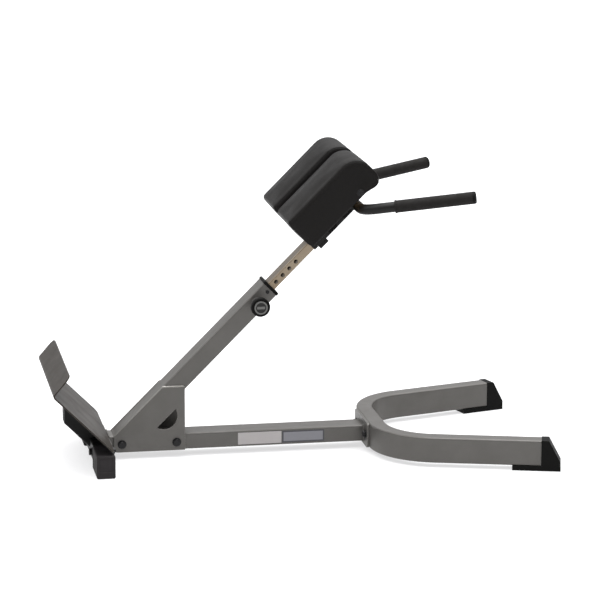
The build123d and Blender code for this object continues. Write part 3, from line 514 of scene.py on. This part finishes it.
# %% Shape a pad's foam block
PAD_GROW = 0.5
PAD_CROWN = 6.0
SIDE_HOLD = 0.85
SMOOTH_ROUNDS = 25
PAD_VOXEL = 4.0
ROLL_START = 912.0
ROLL_FULL = 948.0
ROLL_BACK = 7.0
ROLL_DEPTH = 48.0
BACK_RECESS = 1.2
RECESS_DEPTH = 2.0
TOP_FRONT_ROUND = 50.0
TOP_BACK_ROUND = 24.0
BOTTOM_FRONT_ROUND = 11.0
BOTTOM_BACK_ROUND = 14.0
SIDE_ROUND = 9.0
BACK_BAND = 4.0


def pad_limits(name):
    """A pad's lowest and highest millimetres along, off and across the mast."""
    spots = [mast_lengths(v.co) for v in nodes[name].data.vertices]
    return [min(s[i] for s in spots) for i in range(3)], [max(s[i] for s in spots) for i in range(3)]


def near_edge(shape, along, off):
    """The block's long edge that runs across the bench nearest to this place."""
    runs = [e for e in shape.edges if abs(e.verts[0].co.y - e.verts[1].co.y) > 0.1]
    return min(runs, key=lambda e: (e.verts[0].co - Vector((along, e.verts[0].co.y, off))).length)


def foam_block(name):
    """A pad's block in mast lengths: x along, y across, z off, in metres."""
    low, high = pad_limits(name)
    low = [low[0] - PAD_GROW, low[1], low[2] - PAD_GROW]
    high = [high[0] + PAD_GROW, high[1], high[2] + PAD_GROW]
    size = [high[i] - low[i] for i in range(3)]
    middle = [(high[i] + low[i]) / 2 for i in range(3)]
    shape = bmesh.new()
    bmesh.ops.create_cube(shape, size=1)
    bmesh.ops.scale(shape, vec=Vector((size[0], size[2], size[1])) * MM, verts=shape.verts)
    bmesh.ops.translate(shape, vec=Vector((middle[0], middle[2], middle[1])) * MM, verts=shape.verts)
    rounds = (
        (high[0], high[1], TOP_FRONT_ROUND),
        (high[0], low[1], TOP_BACK_ROUND),
        (low[0], high[1], BOTTOM_FRONT_ROUND),
        (low[0], low[1], BOTTOM_BACK_ROUND),
    )
    for along, off, radius in rounds:
        edge = near_edge(shape, along * MM, off * MM)
        bmesh.ops.bevel(
            shape, geom=[edge], offset=radius * MM, segments=10, profile=0.5, affect="EDGES", material=-1
        )
    ends = [f for f in shape.faces if abs(f.normal.y) > 0.9]
    rims = {e for f in ends for e in f.edges if max(v.co.z for v in e.verts) > (low[1] + BACK_BAND) * MM}
    bmesh.ops.bevel(
        shape, geom=list(rims), offset=SIDE_ROUND * MM, segments=3, profile=0.5, affect="EDGES", material=-1
    )
    return new_mesh(name + "_foam", shape), low[1]


# %% [markdown]
# The blow-up runs in the pad's own space, lying flat, and is turned onto the mast after.
# Points near the back are held by a vertex group. Cloth also slides and creases, and a
# stretched cover does neither. So only the outward part of each point's movement is kept,
# evened out with its neighbours' and scaled so that the crown is as high as it should be.
# The side panels are stretched flat between two seams, so they get little of the push.

# %% Blow a pad up with cloth pressure
HELD_DEPTH = 5.0
CLOTH_PRESSURE = 4.0
CLOTH_STIFFNESS = 12
CLOTH_BENDING = 0.6
CLOTH_FRAMES = 20


def modifier_applied(piece):
    """Bake the piece's modifiers into its mesh."""
    graph = bpy.context.evaluated_depsgraph_get()
    baked = bpy.data.meshes.new_from_object(piece.evaluated_get(graph))
    piece.modifiers.clear()
    old = piece.data
    piece.data = baked
    bpy.data.meshes.remove(old)


def evened(values, edges, rounds):
    """Average each point's value with its neighbours', a number of times."""
    counts = [0] * len(values)
    for a, b in edges:
        counts[a] += 1
        counts[b] += 1
    for _ in range(rounds):
        sums = [0.0] * len(values)
        for a, b in edges:
            sums[a] += values[b]
            sums[b] += values[a]
        values = [(v + total / max(1, n)) / 2 for v, total, n in zip(values, sums, counts)]
    return values


def blow_up(piece, back):
    """Cloth pressure over some frames, kept as a smooth push outward."""
    held = piece.vertex_groups.new(name="held")
    low = [v.index for v in piece.data.vertices if v.co.z < (back + HELD_DEPTH) * MM]
    held.add(low, 1.0, "REPLACE")
    start = [v.co.copy() for v in piece.data.vertices]
    outward = [v.normal.copy() for v in piece.data.vertices]
    edges = [tuple(e.vertices) for e in piece.data.edges]
    cloth = piece.modifiers.new("vinyl", "CLOTH")
    cloth.settings.use_pressure = True
    cloth.settings.uniform_pressure_force = CLOTH_PRESSURE
    cloth.settings.tension_stiffness = CLOTH_STIFFNESS
    cloth.settings.compression_stiffness = CLOTH_STIFFNESS
    cloth.settings.bending_stiffness = CLOTH_BENDING
    cloth.settings.effector_weights.gravity = 0
    cloth.settings.vertex_group_mass = "held"
    scene = bpy.context.scene
    for step in range(1, CLOTH_FRAMES + 1):
        scene.frame_set(step)
    modifier_applied(piece)
    push = [max(0.0, (v.co - a).dot(n)) for v, a, n in zip(piece.data.vertices, start, outward)]
    push = evened(push, edges, SMOOTH_ROUNDS)
    gain = PAD_CROWN * MM / max(push)
    for vertex, before, normal, amount in zip(piece.data.vertices, start, outward, push):
        vertex.co = before + normal * amount * gain * (1 - SIDE_HOLD * abs(normal.y))
    scene.frame_set(1)
    print(piece.name, "pushed out", round(max(push) / MM, 1), "mm, scaled by", round(gain, 2))


# %% [markdown]
# Behind the board's top end the vinyl gathers in a soft roll that stands out past the
# board. The rest of the back is drawn in by a millimetre, so that the board shows.

# %% Roll the top and recess the back
def eased(value):
    value = min(1.0, max(0.0, value))
    return value * value * (3 - 2 * value)


def shape_back(piece, back):
    """Push the top of a pad's back outward and draw the rest in."""
    for vertex in piece.data.vertices:
        along, off = vertex.co.x / MM, vertex.co.z / MM
        near_back = eased(1 - (off - back) / ROLL_DEPTH)
        roll = eased((along - ROLL_START) / (ROLL_FULL - ROLL_START))
        push = ROLL_BACK * roll * near_back
        if off < back + RECESS_DEPTH:
            push -= BACK_RECESS * (1 - roll)
        vertex.co.z -= push * MM


# %% Make both pads
def make_pad(side):
    source = "pad_" + side
    pad, back = foam_block(source)
    pad.name = "cover_" + side
    mesher = pad.modifiers.new("skin", "REMESH")
    mesher.mode = "VOXEL"
    mesher.voxel_size = PAD_VOXEL * MM
    modifier_applied(pad)
    blow_up(pad, back)
    shape_back(pad, back)
    finer = pad.modifiers.new("finer", "SUBSURF")
    finer.levels = finer.render_levels = 1
    modifier_applied(pad)
    pad.data.transform(MAST_SPACE)
    pad.data.shade_smooth()
    fit(pad, "pad_carriage", black_vinyl)
    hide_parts(source)
    return pad


pads = {side: make_pad(side) for side, _ in LEFT_AND_RIGHT}
print("pad faces", {side: len(p.data.polygons) for side, p in pads.items()})

# %% [markdown]
# ## The pads' seams
# The wrap of vinyl and each side panel are sewn together along the pad's outline. The
# seam is a low ridge. It is laid on the finished cover: points of the outline are moved
# to the nearest place on the skin, and a thin closed tube is run through them.

# %% Lay a seam along each side of each pad
SEAM_RADIUS = 0.9
SEAM_INSET = 2
SEAM_STEP = 4


def tube_along(name, points, radius, closed=True, swell=None):
    """A round bead through points; swell gives each point's share of the radius."""
    curve = bpy.data.curves.new(name, "CURVE")
    curve.dimensions = "3D"
    curve.bevel_depth = radius * MM
    curve.bevel_resolution = 2
    curve.use_fill_caps = not closed
    line = curve.splines.new("POLY")
    line.points.add(len(points) - 1)
    for i, point in enumerate(points):
        line.points[i].co = (*point, 1)
        line.points[i].radius = swell[i] if swell else 1
    line.use_cyclic_u = closed
    holder = bpy.data.objects.new(name, curve)
    bpy.context.scene.collection.objects.link(holder)
    graph = bpy.context.evaluated_depsgraph_get()
    mesh = bpy.data.meshes.new_from_object(holder.evaluated_get(graph))
    bpy.data.objects.remove(holder)
    bpy.data.curves.remove(curve)
    shape = bmesh.new()
    shape.from_mesh(mesh)
    bpy.data.meshes.remove(mesh)
    made = new_mesh(name, shape)
    made.data.shade_smooth()
    return made


def outline(low, high, corners, step):
    """Points round a rectangle with rounded corners, about step apart, as (along, off)."""
    points = []
    centres = (
        (high[0], low[1], -90, corners[1]),
        (high[0], high[1], 0, corners[0]),
        (low[0], high[1], 90, corners[2]),
        (low[0], low[1], 180, corners[3]),
    )
    for along, off, turn, radius in centres:
        middle = (
            along + (-radius if along == high[0] else radius),
            off + (-radius if off == high[1] else radius),
        )
        count = max(3, int(radius * math.pi / 2 / step))
        for i in range(count + 1):
            angle = math.radians(turn + 90 * i / count)
            points.append((middle[0] + radius * math.cos(angle), middle[1] + radius * math.sin(angle)))
    spaced = []
    for i, here in enumerate(points):
        there = points[(i + 1) % len(points)]
        gap = math.dist(here, there)
        pieces = max(1, int(gap / step))
        spaced += [
            (here[0] + (there[0] - here[0]) * k / pieces, here[1] + (there[1] - here[1]) * k / pieces)
            for k in range(pieces)
        ]
    return spaced


def pad_seam(side, face):
    """The seam between a pad's wrap and one of its two side panels."""
    low, high = pad_limits("pad_" + side)
    skin = pads[side].data
    tree = BVHTree.FromPolygons([v.co for v in skin.vertices], [p.vertices for p in skin.polygons])
    radii = (TOP_FRONT_ROUND, TOP_BACK_ROUND, BOTTOM_FRONT_ROUND, BOTTOM_BACK_ROUND)
    across = low[2] + SEAM_INSET if face == 0 else high[2] - SEAM_INSET
    path = [tree.find_nearest(on_mast(t, n, across))[0] for t, n in outline(low, high, radii, SEAM_STEP)]
    seam = tube_along(f"seam_{side}_{'inner' if face == (side == 'right') else 'outer'}", path, SEAM_RADIUS)
    return fit(seam, "pad_carriage", black_vinyl)


seams = [pad_seam(side, face) for side, _ in LEFT_AND_RIGHT for face in (0, 1)]
print("seams", [s.name for s in seams])

# %% [markdown]
# ## Staples
# Behind each pad the vinyl is folded in over the board's rim and stapled. A staple's
# crown is a flat wire ten millimetres long. They are set in a row that follows the
# board's edge, each one turned to lie along it.

# %% Staple the covers to the boards
STAPLE = (10.0, 1.3, 0.7)
STAPLE_PITCH = 24.0
STAPLE_INSET = 9.0
STAPLE_EDGE = 0.2


def staple_row(side):
    low, high = pad_limits("pad_board_" + side)
    inset_low = [v + STAPLE_INSET for v in (low[0], low[2])]
    inset_high = [v - STAPLE_INSET for v in (high[0], high[2])]
    spots = outline(inset_low, inset_high, (4, 4, 4, 4), STAPLE_PITCH)
    shape = bmesh.new()
    for i, (along, across) in enumerate(spots):
        nxt = spots[(i + 1) % len(spots)]
        if math.dist((along, across), nxt) < STAPLE_PITCH * 0.5:
            continue
        turn = math.atan2(nxt[1] - across, nxt[0] - along)
        made = bmesh.ops.create_cube(shape, size=1)["verts"]
        bmesh.ops.scale(shape, vec=Vector(STAPLE) * MM, verts=made)
        bmesh.ops.rotate(shape, cent=(0, 0, 0), matrix=Matrix.Rotation(turn, 3, "Z"), verts=made)
        spot = Vector((along, across, low[1])) * MM
        bmesh.ops.translate(shape, vec=spot, verts=made)
    bmesh.ops.bevel(
        shape, geom=shape.edges[:], offset=STAPLE_EDGE * MM,
        segments=1, profile=0.5, affect="EDGES", material=-1
    )
    bmesh.ops.transform(shape, matrix=MAST_SPACE, verts=shape.verts)
    return fit(new_mesh("staples_" + side, shape), "pad_carriage", bright_zinc)


staples = [staple_row(side) for side, _ in LEFT_AND_RIGHT]
print("staple faces", [len(s.data.polygons) for s in staples])

# %% [markdown]
# ## Weld beads
# The frame is welded before it is painted, so each joint has a bead under the coating: a
# row of overlapping ripples, a little uneven because a hand made them. A curve whose
# radius swells and shrinks from point to point looks just like that. Every bead follows
# the corner where two parts meet.

# %% Bead helper
BEAD = 2.4
RIPPLE = 1.7
RIPPLE_NECK = 0.84
UNEVEN = 0.06
hand = random.Random(7)


def bead(name, corners, body, slot, closed=True, radius=BEAD):
    """A weld bead that runs through corner points given in metres."""
    path = []
    runs = list(zip(corners, corners[1:] + corners[:1])) if closed else list(zip(corners, corners[1:]))
    for here, there in runs:
        count = max(1, round((there - here).length / (RIPPLE * MM / 2)))
        path += [here.lerp(there, i / count) for i in range(count)]
    if not closed:
        path.append(corners[-1])
    swell = [(1.0 if i % 2 else RIPPLE_NECK) + hand.uniform(-UNEVEN, UNEVEN) for i in range(len(path))]
    made = tube_along(name, path, radius, closed, swell)
    return fit(made, body, finish_of_slot[slot])


def loop_round(centre, axis, radius, count=48):
    """Points round a circle, for a bead about a bar."""
    spin = axis.to_track_quat("Z", "Y").to_matrix()
    angles = [2 * math.pi * i / count for i in range(count)]
    return [centre + spin @ Vector((math.cos(a), math.sin(a), 0)) * radius for a in angles]


# %% Weld the frame
GUSSET_TOP_BEAD = 3.2
GUSSET_SLOPE_BEAD = 1.8
NUT_BEAD = 1.6
NUT_REACH = 13.5
foot_half = MAST_DEPTH * MM * math.sqrt(2) / 2
mast_heel = [
    mast_foot + Vector((x * foot_half, y * TUBE_HALF_WIDTH, 0))
    for x, y in ((-1, -1), (1, -1), (1, 1), (-1, 1))
]
beads = [bead("weld_mast_heel", mast_heel, "frame", "silver_paint")]
for name, x in (("weld_spine_front", spine_low.x), ("weld_spine_rear", spine_high.x)):
    ring = [
        Vector((x, y * TUBE_HALF_WIDTH, z))
        for y, z in ((-1, spine_low.z), (1, spine_low.z), (1, spine_high.z), (-1, spine_high.z))
    ]
    beads.append(bead(name, ring, "frame", "silver_paint"))
_, gusset_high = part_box("gusset_left")
for side, way in LEFT_AND_RIGHT:
    wall = way * TUBE_HALF_WIDTH
    mast_left = gusset_high.z - spine_high.z + mast_foot.x - foot_half
    top = [Vector((mast_left, wall, gusset_high.z)), Vector((gusset_high.x - 0.003, wall, gusset_high.z))]
    beads.append(
        bead("weld_gusset_top_" + side, top, "frame", "silver_paint", closed=False, radius=GUSSET_TOP_BEAD)
    )
    slope = [
        Vector((mast_foot.x - foot_half, wall, spine_high.z)),
        Vector((mast_left, wall, gusset_high.z)),
    ]
    beads.append(
        bead(
            "weld_gusset_slope_" + side, slope, "frame", "silver_paint", closed=False,
            radius=GUSSET_SLOPE_BEAD,
        )
    )
# The gusset beads take the paler silver, a painted highlight along them.
for made in beads[-4:]:
    made.data.materials[0] = weld_highlight_silver
nut_low, nut_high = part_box("pin_weld_nut")
nut_middle = Vector(((nut_low.x + nut_high.x) / 2, -TUBE_HALF_WIDTH, (nut_low.z + nut_high.z) / 2))
nut_ring = loop_round(nut_middle, ACROSS, NUT_REACH * MM)
beads.append(
    bead("weld_pin_nut", nut_ring, "frame", "silver_paint", radius=NUT_BEAD)
)
print("beads on the frame", len(beads))

# %% Weld the pad carriage
BAR_ALONG = 877.0
BAR_OFF = 15.0
BAR_RADIUS = 14.0
BAR_WELD = (162, 230)
_, post_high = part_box("pad_post")
post_half = post_high.y / MM
for side, way in LEFT_AND_RIGHT:
    turns = [math.radians(a) for a in range(*BAR_WELD, 6)]
    arc = [
        on_mast(BAR_ALONG + BAR_RADIUS * math.cos(a), BAR_OFF + BAR_RADIUS * math.sin(a), way * post_half)
        for a in turns
    ]
    beads.append(bead("weld_handle_" + side, arc, "pad_carriage", "black_paint", closed=False, radius=2.2))
for name in ("lower", "upper"):
    low, high = pad_limits("pad_rail_" + name)
    for end, along in (("front", low[0]), ("back", high[0])):
        line = [on_mast(along, low[1], way * (post_half - 2)) for way in (-1, 1)]
        beads.append(
            bead(f"weld_rail_{name}_{end}", line, "pad_carriage", "black_paint", closed=False, radius=2.0)
        )
print("beads in all", len(beads))

# %% [markdown]
# ## The pull knob
# The knob is turned and moulded nylon: a stem, a thick disc with fine ribs round its rim
# for the fingers, and a shallow face that takes the cap. It is spun from its profile,
# and the ribs are made by pulling in every third column of the rim.

# %% Turn the knob
KNOB_STEPS = 120
RIB_DEPTH = 0.5
RIM_START = 24.5
RIB_SPACING = 3


def turned(name, profile, centre, axis, steps=64, shaper=None):
    """Spin a profile of (radius, height) in mm about an axis and stand it at a centre."""
    shape = bmesh.new()
    points = [shape.verts.new((r * MM, 0, h * MM)) for r, h in profile]
    edges = [shape.edges.new(pair) for pair in zip(points, points[1:])]
    bmesh.ops.spin(
        shape, geom=points + edges, cent=(0, 0, 0), axis=(0, 0, 1), angle=2 * math.pi,
        steps=steps, use_merge=True,
    )
    bmesh.ops.remove_doubles(shape, verts=shape.verts, dist=1e-6)
    if shaper:
        shaper(shape)
    stand = Matrix.Translation(centre) @ axis.to_track_quat("Z", "Y").to_matrix().to_4x4()
    bmesh.ops.transform(shape, matrix=stand, verts=shape.verts)
    return new_mesh(name, shape)


def rib_rim(shape):
    """Pull in every third column of the rim."""
    for vertex in shape.verts:
        radius = math.hypot(vertex.co.x, vertex.co.y)
        column = round(math.atan2(vertex.co.y, vertex.co.x) / (2 * math.pi) * KNOB_STEPS)
        if radius > RIM_START * MM and column % RIB_SPACING == 0:
            vertex.co.x *= 1 - RIB_DEPTH * MM / radius
            vertex.co.y *= 1 - RIB_DEPTH * MM / radius


knob_low, knob_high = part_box("pull_knob")
knob_foot = Vector(((knob_low.x + knob_high.x) / 2, knob_high.y, (knob_low.z + knob_high.z) / 2))
knob_long = (knob_high.y - knob_low.y) / MM
KNOB_STEM = 10.0
knob_profile = [
    (4.6, 0), (9.5, 0), (10.5, 1), (10.5, 6), (12, KNOB_STEM - 1.5), (21, KNOB_STEM),
    (24.6, KNOB_STEM + 1.2),
    (25.9, KNOB_STEM + 4), (26, KNOB_STEM + 10), (25.9, knob_long - 4), (24.7, knob_long - 1.4),
    (22.5, knob_long - 0.3), (19.5, knob_long), (18.6, knob_long - 0.4), (18.05, knob_long - 2),
    (4.6, knob_long - 2),
    (4.6, 0),
]
knob = turned("ribbed_knob", knob_profile, knob_foot, Vector((0, -1, 0)), KNOB_STEPS, rib_rim)
smooth(knob, 28)
fit(knob, "pop_pin", black_nylon)
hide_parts("pull_knob")
print("knob faces", len(knob.data.polygons))

# %% [markdown]
# ## The stage
# The bench stands on a plain pale floor in a room whose light comes mostly from above, as
# under a big diffuser: the sky of the room is bright overhead and dim at the sides. One
# panel hangs in front and above to round the pads, and shadows stay faint.

# %% Floor, world and lights
ROOM_TOP = 6.8
ROOM_SIDE = 0.1
ROOM_FALL = 3.5
ROOM_BACK = 0.6
FLOOR_GLOW = 0.65


def pale_floor():
    shape = bmesh.new()
    bmesh.ops.create_grid(shape, x_segments=1, y_segments=1, size=60)
    floor = new_mesh("pale_floor", shape)
    floor.data.materials.append(
        coated(
            "pale_floor_paint", "#a2a2a2", "#a0a0a0", 400, (0.9, 0.95), 30, 0.01, rounding=0.0, IOR=1.4,
            **{"Emission Color": linear("#fbfbfc"), "Emission Strength": FLOOR_GLOW},
        )
    )
    return floor


def room_light():
    """A world that is bright overhead, dim at the sides and softly lit behind the bench."""
    world = bpy.data.worlds.new("pale_room")
    world.use_nodes = True
    back = world.node_tree.nodes["Background"]
    place = add(world, "ShaderNodeTexCoord")
    parts = add(world, "ShaderNodeSeparateXYZ", {}, {0: place.outputs["Generated"]})
    up = add(world, "ShaderNodeMath", {"operation": "MAXIMUM", 1: 0.0}, {0: parts.outputs["Z"]})
    steep = add(world, "ShaderNodeMath", {"operation": "POWER", 1: ROOM_FALL}, {0: up.outputs[0]})
    level = add(
        world, "ShaderNodeMapRange", {"To Min": ROOM_SIDE, "To Max": ROOM_TOP}, {0: steep.outputs[0]},
    )
    behind = add(world, "ShaderNodeMath", {"operation": "MAXIMUM", 1: 0.0}, {0: parts.outputs["Y"]})
    glow = add(world, "ShaderNodeMath", {"operation": "POWER", 1: 2.0}, {0: behind.outputs[0]})
    total = add(
        world, "ShaderNodeMath", {"operation": "MULTIPLY_ADD", 1: ROOM_BACK},
        {0: glow.outputs[0], 2: level.outputs[0]},
    )
    world.node_tree.links.new(total.outputs[0], back.inputs["Strength"])
    back.inputs["Color"].default_value = linear("#fbfbfc")
    bpy.context.scene.world = world


pale_floor()
room_light()


def panel(name, place, target, size, power):
    """A square area light at a place, turned to a target."""
    light = bpy.data.lights.new(name, "AREA")
    light.shape = "SQUARE"
    light.size = size
    light.energy = power
    holder = bpy.data.objects.new(name, light)
    holder.location = place
    holder.rotation_euler = (Vector(target) - Vector(place)).to_track_quat("-Z", "Y").to_euler()
    bpy.context.scene.collection.objects.link(holder)


panel("front_panel", (-2.6, -0.6, 2.6), (0, 0, 0.5), 1.6, 12)

# %% [markdown]
# ## The camera
# The view is from the right of the bench and a little in front, from far away with a long
# lens, so that upright lines stay nearly parallel.

# %% Camera
CAMERA_PLACE = Vector((-1.2801, -7.0342, 2.0015))
CAMERA_YAW = -10.462
CAMERA_DOWN = 12.502
CAMERA_ROLL = 0.206
camera_data = bpy.data.cameras.new("long_lens")
camera_data.sensor_width = 36
camera_data.lens = 161.76
camera_data.clip_end = 120
camera = bpy.data.objects.new("long_lens", camera_data)
camera.location = CAMERA_PLACE
level = Euler((math.radians(90 - CAMERA_DOWN), 0, math.radians(CAMERA_YAW))).to_matrix()
camera.rotation_euler = (level @ Matrix.Rotation(math.radians(CAMERA_ROLL), 3, "Z")).to_euler()
bpy.context.scene.collection.objects.link(camera)
bpy.context.scene.camera = camera
bpy.context.scene.view_settings.view_transform = "Standard"
